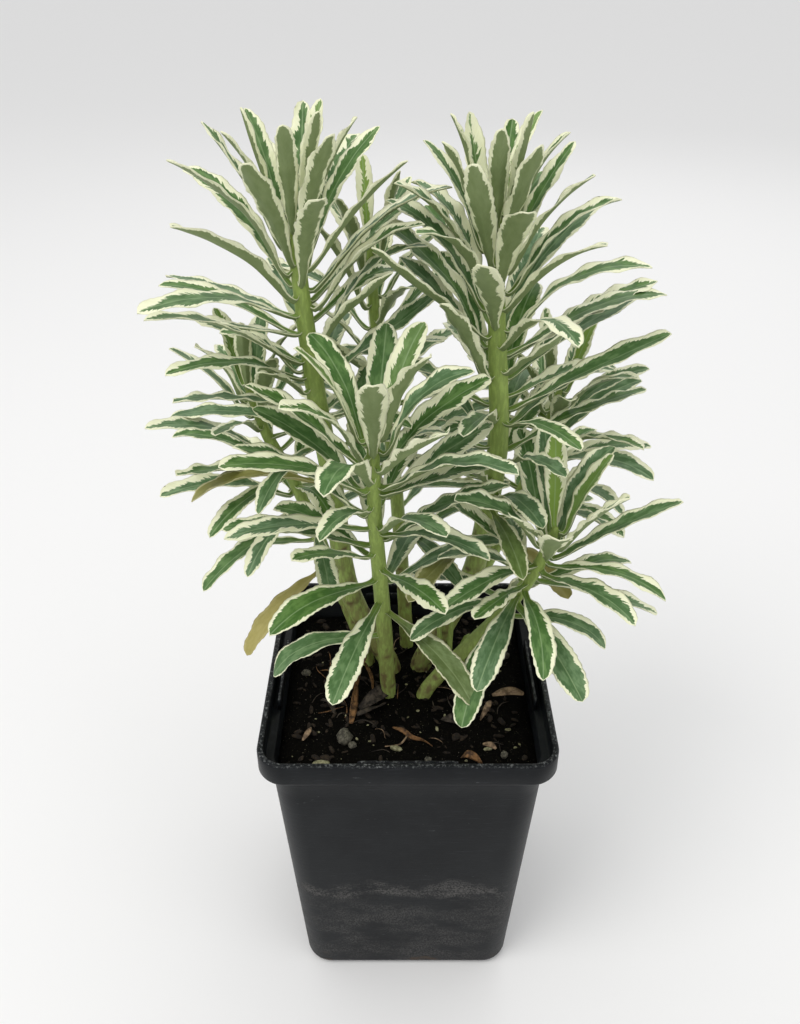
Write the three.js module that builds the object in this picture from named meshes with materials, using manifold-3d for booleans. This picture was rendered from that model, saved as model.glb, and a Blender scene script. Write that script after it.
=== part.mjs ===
// Potted euphorbia: a seven-stemmed plant with toothed, cream-edged leaves, growing in a
// square nursery pot. Millimetres, +Z up, the pot's front facing -Y. The origin is the
// middle of the pot's foot, on the surface that the pot stands on.

import * as THREE from "three";
import { mergeVertices } from "three/addons/utils/BufferGeometryUtils.js";
import Module from "manifold-3d";

const wasm = await Module();
wasm.setup();

// ---- Pot sizes ----
const RIM_WIDTH = 115;
const POT_HEIGHT = 142;
const FOOT_WIDTH = 91;
const POT_CORNER_RADIUS = 11;
const POT_WALL = 1.8;
const FLOOR_THICKNESS = 4.2;
const FOOT_EDGE_ROUNDING = 4;
const RIM_BAND_HEIGHT = 10;
const RIM_BAND_STANDOUT = 4.2;
const RIM_BAND_WALL = 2.4;
const FOOT_PAD_WIDTH = 67;
const CORNER_LIFT = 2;
const DRAIN_HOLE_DIAMETER = 9;
const RIM_CLIP_LENGTH = 38;
const RIM_CLIP_THICKNESS = 1.2;
const RIM_CLIP_HEIGHT = 5;

// ---- Soil sizes ----
const SOIL_BELOW_RIM = 13;
const SOIL_BUMP = 1.6;
const FIT_GAP = 0.3;

// ---- Plant sizes ----
const STEM_ROOT_DEPTH = 12;
const TIP_THINNING = 2.6;
const STEM_SPREAD = 1;
const STEM_RISE = 1;
const LEAF_LENGTH_FACTOR = 1;
const LEAF_WIDTH = 10.8;
const LEAF_THICKNESS = 1.1;
const LEAF_BASE_WIDTH = 2.6;
const LEAF_GAP = 0.3;
const COLLAR_WALL = 1.1;
const COLLAR_GAP = 0.4;
const COLLAR_MARGIN = 1.1;
const COLLAR_STEPS_APART = 0.9;

// ---- Mesh fineness ----
const CORNER_STEPS = 5;
const STEM_SIDES = 8;
const STEM_STEP = 13;
const DRAIN_HOLE_SIDES = 16;

const SOIL_TOP = POT_HEIGHT - SOIL_BELOW_RIM;
const DEGREE = Math.PI / 180;
const UP = new THREE.Vector3(0, 0, 1);

// ---- Materials ----
function material(color, roughness) {
  return new THREE.MeshStandardMaterial({ color, roughness, metalness: 0 });
}

const POT_PLASTIC = material(0x24272a, 0.45);
const SOIL_MIX = material(0x221a14, 0.95);
const GREEN_STEM = material(0x94a14c, 0.6);
const OLD_STEM = material(0x8a8c4e, 0.7);
const LEAF_GREEN = material(0x6d8a62, 0.55);
const YOUNG_LEAF = material(0xa3bb58, 0.5);
const DRY_LEAF = material(0x9c6233, 0.8);

// ---- Solids ----
// Joins rings of equal point counts into one closed surface. Each ring runs anticlockwise
// seen from the end, and the ends are closed to the points given or to the rings' middles.
function loft(rings, startPoint = middle(rings[0]), endPoint = middle(rings.at(-1))) {
  const count = rings[0].length;
  const points = [...rings.flat(), startPoint, endPoint];
  const start = points.length - 2;
  const end = points.length - 1;
  const lastRing = (rings.length - 1) * count;
  const faces = [];
  for (let i = 0; i < count; i += 1) {
    const next = (i + 1) % count;
    faces.push(start, next, i);
    faces.push(end, lastRing + i, lastRing + next);
    for (let ring = 0; ring < lastRing; ring += count) {
      faces.push(ring + i, ring + next, ring + count + next);
      faces.push(ring + i, ring + count + next, ring + count + i);
    }
  }
  const geometry = new THREE.BufferGeometry();
  geometry.setFromPoints(points);
  geometry.setIndex(faces);
  return geometry;
}

function middle(ring) {
  const sum = new THREE.Vector3();
  ring.forEach((point) => sum.add(point));
  return sum.divideScalar(ring.length);
}

function solid(geometry) {
  const bare = geometry.clone();
  bare.deleteAttribute("normal");
  bare.deleteAttribute("uv");
  const merged = mergeVertices(bare, 1e-4);
  return new wasm.Manifold(new wasm.Mesh({
    numProp: 3,
    vertProperties: new Float32Array(merged.attributes.position.array),
    triVerts: new Uint32Array(merged.index.array),
  }));
}

function geometryOf(shape) {
  const mesh = shape.getMesh();
  const geometry = new THREE.BufferGeometry();
  geometry.setAttribute("position", new THREE.BufferAttribute(mesh.vertProperties, 3));
  geometry.setIndex(new THREE.BufferAttribute(mesh.triVerts, 1));
  geometry.computeVertexNormals();
  return geometry;
}

// ---- Pot ----
// Width of the pot's body at a height: it widens evenly from the foot to the rim band.
function bodyWidth(z) {
  const topWidth = RIM_WIDTH - 2 * RIM_BAND_STANDOUT;
  const share = z / (POT_HEIGHT - RIM_BAND_HEIGHT);
  return FOOT_WIDTH + (topWidth - FOOT_WIDTH) * share;
}

function roundedSquare(width, radius, z) {
  const centre = width / 2 - radius;
  const ring = [];
  for (let corner = 0; corner < 4; corner += 1) {
    const signX = corner === 0 || corner === 3 ? 1 : -1;
    const signY = corner < 2 ? 1 : -1;
    for (let step = 0; step <= CORNER_STEPS; step += 1) {
      const angle = (corner + step / CORNER_STEPS) * 90 * DEGREE;
      const x = signX * centre + radius * Math.cos(angle);
      const y = signY * centre + radius * Math.sin(angle);
      ring.push(new THREE.Vector3(x, y, z));
    }
  }
  return ring;
}

// The inside of the pot's body, drawn in by a gap, from the floor up to a height.
function insideRings(fromZ, toZ, gap) {
  return [fromZ, toZ].map((z) => {
    const width = bodyWidth(z) - 2 * (POT_WALL + gap);
    return roundedSquare(width, POT_CORNER_RADIUS - POT_WALL - gap, z);
  });
}

function makePot() {
  const bandBottom = POT_HEIGHT - RIM_BAND_HEIGHT;
  const ledge = bandBottom + POT_WALL;
  const radius = POT_CORNER_RADIUS;
  const bandInside = RIM_WIDTH - 2 * RIM_BAND_WALL;
  const lipRounding = 0.6;
  const rings = [];
  for (const turn of [0, 30, 60, 90]) {
    const inset = FOOT_EDGE_ROUNDING * (1 - Math.sin(turn * DEGREE));
    const z = FOOT_EDGE_ROUNDING * (1 - Math.cos(turn * DEGREE));
    rings.push(roundedSquare(bodyWidth(z) - 2 * inset, radius - inset, z));
  }
  rings.push(roundedSquare(bodyWidth(bandBottom), radius, bandBottom));
  rings.push(roundedSquare(RIM_WIDTH, radius, bandBottom));
  rings.push(roundedSquare(RIM_WIDTH, radius, POT_HEIGHT - lipRounding));
  rings.push(roundedSquare(RIM_WIDTH - 2 * lipRounding, radius - lipRounding, POT_HEIGHT));
  rings.push(roundedSquare(bandInside, radius - RIM_BAND_WALL, POT_HEIGHT));
  rings.push(roundedSquare(bandInside, radius - RIM_BAND_WALL, ledge));
  rings.push(...insideRings(FLOOR_THICKNESS, ledge, 0).reverse());
  let pot = solid(loft(rings));

  // The four corners stand clear of the surface, and each has a drain hole.
  const cornerWidth = (FOOT_WIDTH - FOOT_PAD_WIDTH) / 2 + FOOT_EDGE_ROUNDING;
  const cornerPlace = FOOT_PAD_WIDTH / 2 + cornerWidth / 2;
  const holePlace = FOOT_PAD_WIDTH / 2 + DRAIN_HOLE_DIAMETER / 4;
  for (const [signX, signY] of [[1, 1], [-1, 1], [-1, -1], [1, -1]]) {
    const lift = new THREE.BoxGeometry(cornerWidth, cornerWidth, 2 * CORNER_LIFT);
    lift.translate(signX * cornerPlace, signY * cornerPlace, 0);
    const hole = new THREE.CylinderGeometry(
      DRAIN_HOLE_DIAMETER / 2, DRAIN_HOLE_DIAMETER / 2, 3 * FLOOR_THICKNESS, DRAIN_HOLE_SIDES);
    hole.rotateX(90 * DEGREE);
    hole.translate(signX * holePlace, signY * holePlace, 0);
    pot = pot.subtract(solid(lift)).subtract(solid(hole));
  }

  // A thin clip stands on the ledge in the middle of each side and leaves a slot behind it.
  const clipFoot = POT_WALL / 2;
  const clipPlace = bodyWidth(ledge) / 2 - POT_WALL + RIM_CLIP_THICKNESS / 2;
  for (let side = 0; side < 4; side += 1) {
    const clip = new THREE.BoxGeometry(
      RIM_CLIP_LENGTH, RIM_CLIP_THICKNESS, RIM_CLIP_HEIGHT + clipFoot);
    clip.translate(0, clipPlace, ledge + (RIM_CLIP_HEIGHT - clipFoot) / 2);
    clip.rotateZ(side * 90 * DEGREE);
    pot = pot.add(solid(clip));
  }
  return pot;
}

// ---- Soil ----
function soilHeight(x, y) {
  const wave = Math.sin(x / 7 + 1) * Math.cos(y / 9) + Math.sin((x + 2 * y) / 13);
  return SOIL_TOP + SOIL_BUMP * 0.5 * wave;
}

function makeSoil() {
  const rings = insideRings(FLOOR_THICKNESS + FIT_GAP, SOIL_TOP - SOIL_BUMP, FIT_GAP);
  const edge = rings.at(-1);
  for (const share of [0.94, 0.78, 0.6, 0.4, 0.2]) {
    rings.push(edge.map(({ x, y }) => {
      return new THREE.Vector3(x * share, y * share, soilHeight(x * share, y * share));
    }));
  }
  return solid(loft(rings, undefined, new THREE.Vector3(0, 0, soilHeight(0, 0))));
}

// ---- Stems ----
// Each shoot has its stem's path, as points across, back and up from the middle of the
// soil's top, its thickness at the soil and at the tip, the stretch of stem that bears
// leaves, how broad its leaves are for their length, and how many leaves share a collar. Its
// lower leaves are listed from the lowest up: the direction each points (0 is right, 90 is
// back), how steeply it rises, and its length. The leaves of its crown follow a spiral.
const SHOOTS = [
  {
    name: "left_tall",
    skin: OLD_STEM,
    path: [[-7, 12, 0], [-24, 14, 41], [-29, 14, 90], [-34, 12, 136], [-37, 8, 180], [-38, 6, 201]],
    baseThickness: 8.8,
    tipThickness: 4.4,
    leafyFrom: 100,
    crowding: 0.56,
    leafBreadth: 0.84,
    leavesPerCollar: 7,
    leaves: [
      [195, 0, 50], [20, 5, 44], [245, -5, 44], [100, 0, 46], [170, 0, 54], [320, 10, 40],
      [215, 20, 52], [80, 15, 50], [235, 35, 28], [15, 30, 50], [215, 15, 52], [195, 35, 32],
      [155, 10, 44], [215, 25, 60], [110, 15, 50], [15, 45, 52], [330, 40, 40], [170, 20, 50],
      [230, 20, 34], [60, 15, 46], [165, 0, 56], [220, 15, 58], [350, 45, 48], [35, 35, 58],
    ],
    crown: { leaves: 21, azimuth: 95, rises: [34, 76], lengths: [60, 32] },
  },
  {
    name: "right_tall",
    skin: OLD_STEM,
    path: [[6, 13, 0], [26, 16, 45], [32, 15, 82], [34, 13, 113], [31, 11, 157], [28, 9, 200]],
    baseThickness: 9,
    tipThickness: 4.4,
    leafyFrom: 74,
    crowding: 0.63,
    leafBreadth: 0.92,
    leavesPerCollar: 7,
    leaves: [
      [230, -10, 42], [350, 0, 46], [280, 0, 42], [100, 0, 46], [285, 15, 46], [170, 5, 44],
      [240, 30, 38], [60, 10, 46], [295, 20, 42], [15, 15, 56], [200, 15, 46], [140, 30, 42],
      [70, 10, 50], [30, 15, 52], [300, 10, 42], [250, 15, 42], [355, 30, 60], [175, 25, 56],
      [20, 5, 44], [65, 45, 46], [110, 15, 46], [25, 20, 56], [160, 50, 52], [225, 55, 42],
      [300, 35, 36], [130, 40, 50], [15, 25, 58],
    ],
    crown: { leaves: 32, azimuth: 15, rises: [24, 76], lengths: [58, 32] },
  },
  {
    name: "front",
    path: [[-8, -3, 0], [-10, -7, 51], [-12, -16, 95], [-12, -24, 125], [-12, -28, 138]],
    baseThickness: 6.4,
    tipThickness: 4,
    leafyFrom: 34,
    crowding: 0.56,
    leafBreadth: 1.08,
    leavesPerCollar: 6,
    leaves: [
      [195, -10, 46], [315, -20, 48], [250, -15, 46], [70, 5, 40], [10, 15, 46], [225, 10, 48],
      [300, 15, 42], [150, 10, 44], [95, 15, 40], [230, 30, 42], [185, 15, 52], [5, 25, 48],
      [330, 5, 42], [195, 5, 50], [305, 25, 42], [115, 20, 42], [180, 25, 52], [60, 25, 42],
      [245, 20, 36], [25, 10, 46], [165, 35, 48], [345, 25, 44],
    ],
    crown: { leaves: 15, azimuth: 200, rises: [20, 66], lengths: [52, 38] },
  },
  {
    name: "right_front",
    path: [[7, -5, 0], [19, -4, 18], [37, -8, 46], [49, -14, 74], [53, -19, 94]],
    baseThickness: 6.2,
    tipThickness: 3.8,
    leafyFrom: 50,
    crowding: 0.7,
    leafBreadth: 1.08,
    leavesPerCollar: 6,
    leaves: [
      [250, -26, 42], [65, -15, 42], [345, -10, 40], [150, 0, 40], [200, -20, 40], [295, -15, 46],
      [245, -20, 42], [100, 10, 38], [275, -5, 42], [20, 5, 42], [235, 10, 36], [0, -15, 46],
      [190, 20, 36], [125, 15, 38], [310, 10, 42], [215, -5, 40], [60, 35, 42], [330, 5, 44],
    ],
    crown: { leaves: 10, azimuth: 350, rises: [36, 68], lengths: [50, 32] },
  },
  {
    name: "centre_back",
    path: [[0, 28, 0], [-5, 40, 79], [-13, 44, 156], [-14, 44, 179]],
    baseThickness: 6,
    tipThickness: 3.6,
    leafyFrom: 58,
    crowding: 0.75,
    leafBreadth: 0.86,
    leavesPerCollar: 6,
    leaves: [
      [300, 10, 44], [60, 0, 44], [180, 5, 42], [340, 15, 44], [110, 10, 44], [240, 10, 40],
      [20, 15, 46], [150, 15, 42], [280, 20, 42], [85, 15, 42], [200, 20, 40], [330, 25, 44],
      [130, 10, 40], [40, 20, 40], [250, 30, 38], [310, 30, 38], [95, 20, 38], [185, 25, 38],
    ],
    crown: { leaves: 12, azimuth: 30, rises: [30, 72], lengths: [46, 30] },
  },
  {
    name: "left_low",
    path: [[-17, 16, 0], [-33, 26, 46], [-45, 28, 83], [-56, 28, 109], [-61, 26, 132]],
    baseThickness: 5.8,
    tipThickness: 3.6,
    leafyFrom: 50,
    crowding: 0.7,
    leafBreadth: 0.95,
    leavesPerCollar: 6,
    leaves: [
      [225, -25, 48], [95, 0, 42], [175, -25, 44], [290, -10, 38], [40, 10, 40], [220, -15, 50],
      [240, -20, 38], [130, 10, 42], [200, 10, 52], [320, 20, 34], [75, 20, 40], [230, -10, 40],
      [225, 15, 46], [165, 10, 44], [30, 30, 36], [110, 30, 40],
    ],
    crown: { leaves: 12, azimuth: 205, rises: [22, 70], lengths: [48, 28] },
  },
  {
    name: "right_back",
    path: [[14, 25, 0], [40, 36, 52], [56, 40, 100], [60, 38, 122]],
    baseThickness: 6,
    tipThickness: 3.6,
    leafyFrom: 60,
    crowding: 0.72,
    leafBreadth: 0.95,
    leavesPerCollar: 6,
    leaves: [
      [300, -5, 42], [120, 0, 42], [30, 0, 42], [200, 5, 38], [75, 5, 42], [325, 5, 46],
      [160, 15, 38], [280, 5, 42], [45, 10, 44], [310, 15, 46], [110, 20, 40], [0, 15, 46],
      [320, 15, 50], [240, 25, 36], [20, 30, 48], [80, 30, 40],
    ],
    crown: { leaves: 12, azimuth: 310, rises: [24, 70], lengths: [48, 30] },
  },
  {
    name: "broken_stub",
    path: [[23, 16, 0], [26, 19, 6], [28, 20, 12]],
    baseThickness: 5.4,
    tipThickness: 4.6,
    leaves: [],
  },
  {
    name: "thin_twig_left",
    path: [[13, 4, 0], [14, 5, 16], [13, 6, 31]],
    baseThickness: 2.4,
    tipThickness: 1.8,
    leaves: [],
  },
  {
    name: "thin_twig_right",
    path: [[18, 5, 0], [18, 6, 18], [19, 8, 33]],
    baseThickness: 2.6,
    tipThickness: 1.8,
    leaves: [],
  },
];

// Each leaf of a crown is turned by the golden angle from the one below it, which keeps the
// leaves apart, and they grow steeper and shorter towards the tip.
const GOLDEN_ANGLE = 137.5;

function crownLeaves({ leaves, azimuth, rises, lengths }) {
  return Array.from({ length: leaves }, (_, i) => {
    const share = i / (leaves - 1);
    return [
      azimuth + GOLDEN_ANGLE * i,
      THREE.MathUtils.lerp(...rises, share),
      THREE.MathUtils.lerp(...lengths, share),
    ];
  });
}

// Dried leaves lying on the soil: where each one's base is, its direction and its length.
const FALLEN_LEAVES = [
  { name: "fallen_leaf_left", place: [-22, -20], azimuth: 75, length: 30, arch: -70 },
  { name: "fallen_leaf_right", place: [20, -14], azimuth: 350, length: 24, arch: -50 },
];

class Stem {
  constructor({ path, baseThickness, tipThickness }) {
    const points = path.map(([x, y, z]) => {
      return new THREE.Vector3(x * STEM_SPREAD, y * STEM_SPREAD, SOIL_TOP + z * STEM_RISE);
    });
    const root = points[0].clone().addScaledVector(UP, -STEM_ROOT_DEPTH);
    this.curve = new THREE.CatmullRomCurve3([root, ...points], false, "centripetal");
    this.length = this.curve.getLength();
    this.baseRadius = baseThickness / 2;
    this.tipRadius = tipThickness / 2;
  }

  // Radius at a distance along the stem from its root, thinning fastest near the tip.
  radius(distance) {
    const share = THREE.MathUtils.clamp(distance / this.length, 0, 1);
    return this.baseRadius + (this.tipRadius - this.baseRadius) * share ** TIP_THINNING;
  }

  point(distance) {
    const share = THREE.MathUtils.clamp(distance / this.length, 0, 1);
    const beyond = distance - share * this.length;
    return this.curve.getPointAt(share).addScaledVector(this.tangent(distance), beyond);
  }

  tangent(distance) {
    return this.curve.getTangentAt(THREE.MathUtils.clamp(distance / this.length, 0, 1));
  }

  // A round bar along the stem, wider than it by a margin, between two distances.
  bar(from, to, margin) {
    const steps = Math.max(1, Math.ceil((to - from) / STEM_STEP));
    const rings = [];
    for (let step = 0; step <= steps; step += 1) {
      const distance = from + (to - from) * step / steps;
      const centre = this.point(distance);
      const along = this.tangent(distance);
      const across = new THREE.Vector3(1, 0, 0).addScaledVector(along, -along.x).normalize();
      const beside = along.clone().cross(across);
      const radius = this.radius(distance) + margin;
      const ring = [];
      for (let side = 0; side < STEM_SIDES; side += 1) {
        const angle = 2 * Math.PI * side / STEM_SIDES;
        ring.push(centre.clone()
          .addScaledVector(across, radius * Math.cos(angle))
          .addScaledVector(beside, radius * Math.sin(angle)));
      }
      rings.push(ring);
    }
    return solid(loft(rings));
  }

  // A collar round the stem, which a whorl's leaves grow from.
  collar(from, to) {
    const outside = this.bar(from, to, COLLAR_GAP + COLLAR_WALL);
    return outside.subtract(this.bar(from - 1, to + 1, COLLAR_GAP));
  }
}

// ---- Leaves ----
// Stations along a leaf: how far along it each is, and its share of the full width there.
const LEAF_STATIONS = [[0, 0.05], [0.38, 0.68], [0.7, 1], [0.9, 0.74]];
const USUAL_LEAF_LENGTH = 48;
const LONGER_LEAF_BREADTH = 0.8;
const USUAL_ARCH = 36;
const ARCH_SCATTER = 0.8;
const ROLL_SCATTER = 14;
const STEEPEST_START = 78;
const STEEPEST_RISE = 82;

// A leaf on a short stalk that leaves the stem squarely, then runs along a curved midrib:
// narrow at the base, widest past its middle, flat above and keeled below. The section where
// the stalk bends up lies midway between the two directions. A margin makes it larger all round.
function makeLeaf(base, away, { azimuth, rise, length, breadth, arch, roll }, margin) {
  const fullWidth = LEAF_WIDTH * breadth * (length / USUAL_LEAF_LENGTH) ** LONGER_LEAF_BREADTH;
  const reach = length * LEAF_LENGTH_FACTOR + margin;
  const rings = [leafRing(base, away, LEAF_BASE_WIDTH, 0, margin)];
  const centre = base.clone().addScaledVector(away, COLLAR_WALL / 2 + LEAF_THICKNESS);
  let travelled = 0;
  for (const [share, widthShare] of LEAF_STATIONS) {
    const stretchMiddle = (travelled + share) / 2;
    centre.addScaledVector(direction(azimuth, rise + arch * (0.5 - stretchMiddle)),
      (share - travelled) * reach);
    travelled = share;
    const ahead = direction(azimuth, rise + arch * (0.5 - share));
    if (share === 0) {
      ahead.add(away).normalize();
    }
    const width = LEAF_BASE_WIDTH + (fullWidth - LEAF_BASE_WIDTH) * widthShare;
    rings.push(leafRing(centre, ahead, width, roll * widthShare, margin));
  }
  const last = direction(azimuth, rise + arch * (0.5 - (travelled + 1) / 2));
  const tip = centre.addScaledVector(last, (1 - travelled) * reach);
  return solid(loft(rings, undefined, tip));
}

// A leaf's section: its left edge, its right edge and its keel.
function leafRing(centre, ahead, width, roll, margin) {
  const left = UP.clone().cross(ahead).normalize().applyAxisAngle(ahead, roll * DEGREE);
  const above = ahead.clone().cross(left);
  const top = centre.clone().addScaledVector(above, LEAF_THICKNESS / 2 + margin);
  return [
    top.clone().addScaledVector(left, width / 2 + 2 * margin),
    top.clone().addScaledVector(left, -width / 2 - 2 * margin),
    centre.clone().addScaledVector(above, -LEAF_THICKNESS / 2 - margin),
  ];
}

function direction(azimuth, rise) {
  const flat = Math.cos(rise * DEGREE);
  return new THREE.Vector3(
    flat * Math.cos(azimuth * DEGREE), flat * Math.sin(azimuth * DEGREE), Math.sin(rise * DEGREE));
}

// A repeatable scatter between -1 and 1 for a leaf of a shoot.
function scatter(shootNumber, leafNumber, kind) {
  const value = Math.sin(shootNumber * 12.9 + leafNumber * 78.2 + kind * 37.7) * 43758.5;
  return 2 * (value - Math.floor(value)) - 1;
}

// Turns to try, nearest first, for a leaf that would touch something already grown.
const TURN_STEP = 7;
const TURN_REACH = 9;
const TURNS = [];
for (let across = -TURN_REACH; across <= TURN_REACH; across += 1) {
  for (let upward = -TURN_REACH; upward <= TURN_REACH; upward += 1) {
    TURNS.push({ across: across * TURN_STEP, upward: upward * TURN_STEP });
  }
}
TURNS.sort((a, b) => Math.hypot(a.across, a.upward) - Math.hypot(b.across, b.upward));

class Bed {
  constructor() {
    this.grown = [];
  }

  add(shape, owner) {
    this.grown.push({ shape, owner, box: shape.boundingBox() });
  }

  isFree(shape, owner) {
    const box = shape.boundingBox();
    return this.grown.every((other) => {
      return other.owner === owner || boxesApart(box, other.box)
        || shape.intersect(other.shape).isEmpty();
    });
  }
}

function boxesApart(a, b) {
  return [0, 1, 2].some((axis) => a.min[axis] > b.max[axis] || b.min[axis] > a.max[axis]);
}

// Grows a leaf from the collar at a distance along its stem, turned aside if it must be.
function growLeaf(bed, collarName, stem, distance, leaf) {
  const outward = stem.radius(distance) + COLLAR_GAP + COLLAR_WALL / 2;
  const along = stem.tangent(distance);
  for (const turn of TURNS) {
    const turned = { ...leaf, azimuth: leaf.azimuth + turn.across, rise: leaf.rise + turn.upward };
    if (Math.abs(turned.rise) > STEEPEST_RISE) {
      continue;
    }
    turned.arch = Math.min(leaf.arch, 2 * (STEEPEST_START - turned.rise));
    const away = direction(turned.azimuth, 0);
    away.addScaledVector(along, -away.dot(along)).normalize();
    const base = stem.point(distance).addScaledVector(away, outward);
    if (bed.isFree(makeLeaf(base, away, turned, LEAF_GAP), collarName)) {
      return makeLeaf(base, away, turned, 0);
    }
  }
  throw new Error(`no room for a leaf of ${collarName}`);
}

// Lays a fallen leaf on the soil, turned aside and raised if something is in its way.
function layLeaf(bed, { name, place, azimuth, length, arch }) {
  const [x, y] = place;
  const soilPoint = new THREE.Vector3(x, y, soilHeight(x, y) + LEAF_THICKNESS + FIT_GAP);
  for (const turn of TURNS) {
    const turned = azimuth + turn.across;
    const leaf = { azimuth: turned, rise: -arch / 3, length, breadth: 1, arch, roll: 0 };
    const base = soilPoint.clone().addScaledVector(UP, Math.abs(turn.upward) / TURN_STEP);
    const away = direction(turned, 0);
    if (bed.isFree(makeLeaf(base, away, leaf, LEAF_GAP), name)) {
      return makeLeaf(base, away, leaf, 0);
    }
  }
  throw new Error(`no room for ${name}`);
}

// ---- Assembly ----
const group = new THREE.Group();
group.name = "potted_euphorbia";

function addPart(name, shape, finish) {
  const mesh = new THREE.Mesh(geometryOf(shape), finish);
  mesh.name = name;
  group.add(mesh);
}

const bed = new Bed();
const pot = makePot();
let soil = makeSoil();
const plants = SHOOTS.map((shoot, number) => ({ ...shoot, number, stem: new Stem(shoot) }));
for (const plant of plants.filter(({ crown }) => crown)) {
  plant.leaves = [...plant.leaves, ...crownLeaves(plant.crown)];
}

for (const plant of plants) {
  soil = soil.subtract(plant.stem.bar(-FIT_GAP, 2 * STEM_ROOT_DEPTH, FIT_GAP));
}
bed.add(pot, "pot");
bed.add(soil, "soil");
addPart("pot", pot, POT_PLASTIC);
addPart("soil", soil, SOIL_MIX);

for (const plant of plants) {
  const shape = plant.stem.bar(0, plant.stem.length, 0);
  addPart(`${plant.name}_stem`, shape, plant.skin ?? GREEN_STEM);
  bed.add(shape, "stem");

  // Leaf heights crowd together towards the tip. Neighbouring leaves share a collar, and
  // the step from one collar to the next is longer than the steps within it.
  const first = STEM_ROOT_DEPTH + plant.leafyFrom * STEM_RISE;
  const last = plant.stem.length - COLLAR_MARGIN;
  const count = plant.leaves.length;
  const stepsTo = (i) => i + COLLAR_STEPS_APART * Math.floor(i / plant.leavesPerCollar);
  plant.heights = plant.leaves.map((_, i) => {
    return first + (last - first) * (stepsTo(i) / stepsTo(count - 1)) ** plant.crowding;
  });
  plant.collars = [];
  for (let from = 0; from < count; from += plant.leavesPerCollar) {
    const to = Math.min(from + plant.leavesPerCollar, count) - 1;
    const name = `${plant.name}_leaves_${plant.collars.length + 1}`;
    const bottom = plant.heights[from] - Math.min(COLLAR_MARGIN, spaceBelow(plant.heights, from));
    const top = plant.heights[to] + Math.min(COLLAR_MARGIN, spaceBelow(plant.heights, to + 1));
    const collar = plant.stem.collar(bottom, top);
    bed.add(collar, name);
    plant.collars.push({ name, from, to, shape: collar });
  }
}

// Half of the space between a leaf and the one below it, less half of the gap they keep.
function spaceBelow(heights, index) {
  const between = index > 0 && index < heights.length ? heights[index] - heights[index - 1] : 1e3;
  return (between - LEAF_GAP) / 2;
}

for (const fallen of FALLEN_LEAVES) {
  const shape = layLeaf(bed, fallen);
  bed.add(shape, fallen.name);
  addPart(fallen.name, shape, DRY_LEAF);
}

for (const plant of plants) {
  for (const collar of plant.collars) {
    let shape = collar.shape;
    for (let i = collar.from; i <= collar.to; i += 1) {
      const [azimuth, rise, length] = plant.leaves[i];
      const arch = USUAL_ARCH * (1 + ARCH_SCATTER * scatter(plant.number, i, 1));
      const roll = ROLL_SCATTER * scatter(plant.number, i, 2);
      const leaf = growLeaf(bed, collar.name, plant.stem, plant.heights[i],
        { azimuth, rise, length, breadth: plant.leafBreadth, arch, roll });
      bed.add(leaf, `${collar.name} leaf ${i}`);
      shape = shape.add(leaf);
    }
    const young = collar === plant.collars.at(-1);
    addPart(collar.name, shape, young ? YOUNG_LEAF : LEAF_GREEN);
  }
}

export default group;
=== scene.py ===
"""Potted euphorbia: the fine meshes, materials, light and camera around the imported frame.

Every piece takes its place from the CAD nodes. The leaves and stems are read back from
their nodes as midribs and widths, and built again as toothed, channelled leaves and round
stems. Lengths are in metres, and the values ending in MM are in millimetres.
"""

import math
import random

import bmesh
import bpy
from mathutils import Matrix, Vector, noise


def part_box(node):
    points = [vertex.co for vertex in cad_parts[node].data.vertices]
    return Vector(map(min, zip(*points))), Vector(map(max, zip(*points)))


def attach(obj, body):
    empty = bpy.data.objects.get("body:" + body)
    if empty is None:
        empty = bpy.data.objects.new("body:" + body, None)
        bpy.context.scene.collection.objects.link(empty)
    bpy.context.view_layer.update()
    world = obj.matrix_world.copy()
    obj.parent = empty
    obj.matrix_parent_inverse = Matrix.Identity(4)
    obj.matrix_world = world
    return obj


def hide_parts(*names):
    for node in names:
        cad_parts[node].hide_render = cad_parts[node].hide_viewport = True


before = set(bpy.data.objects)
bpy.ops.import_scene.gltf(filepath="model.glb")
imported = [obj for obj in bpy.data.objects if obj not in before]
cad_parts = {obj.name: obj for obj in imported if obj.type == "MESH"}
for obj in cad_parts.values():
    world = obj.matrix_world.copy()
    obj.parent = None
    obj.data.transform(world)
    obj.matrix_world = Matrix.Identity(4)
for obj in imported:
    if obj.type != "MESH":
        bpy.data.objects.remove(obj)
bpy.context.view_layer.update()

MM = 0.001
UP = Vector((0, 0, 1))
BODY = "root"
SHOOTS = ("left_tall", "right_tall", "front", "right_front", "centre_back", "left_low",
          "right_back")
BARE_STEMS = ("broken_stub", "thin_twig_left", "thin_twig_right")

# ---- Pot, in millimetres ----
RIM_BAND_HEIGHT_MM = 10.0
RIM_STANDOUT_MM = 4.2
RIM_WALL_MM = 2.4
POT_WALL_MM = 1.8
FLOOR_MM = 4.2
CORNER_RADIUS_MM = 11.0
FOOT_WIDTH_MM = 91.0
FOOT_PAD_MM = 67.0
FOOT_LIFT_MM = 2.0
FOOT_ROUNDING_MM = 4
DRAIN_HOLE_RADIUS_MM = 4.5
DRAIN_HOLE_INSET_MM = 2.25
SOIL_CLEARANCE_MM = 0.6
SOIL_MOUND_MM = 1.3
CLIP_LENGTH_MM = 38.0
CLIP_THICKNESS_MM = 1.2
CLIP_HEIGHT_MM = 5.8

# ---- Plant, in millimetres ----
COLLAR_REACH_MM = 1.75
LEAF_THICKNESS_MM = 0.5
TOOTH_SPACING_MM = 3.1
TOOTH_DEPTH_MM = 0.55
LEAF_STATIONS = 46
LEAF_COLUMNS = (-1.0, -0.84, -0.6, -0.34, -0.1, 0.1, 0.34, 0.6, 0.84, 1.0)
WIDEST = 0.7
STEM_SIDES = 20
STEM_STEP_MM = 1.6
SCAR_SPACING_MM = 3.4
SCAR_TURN = 2.4

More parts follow.
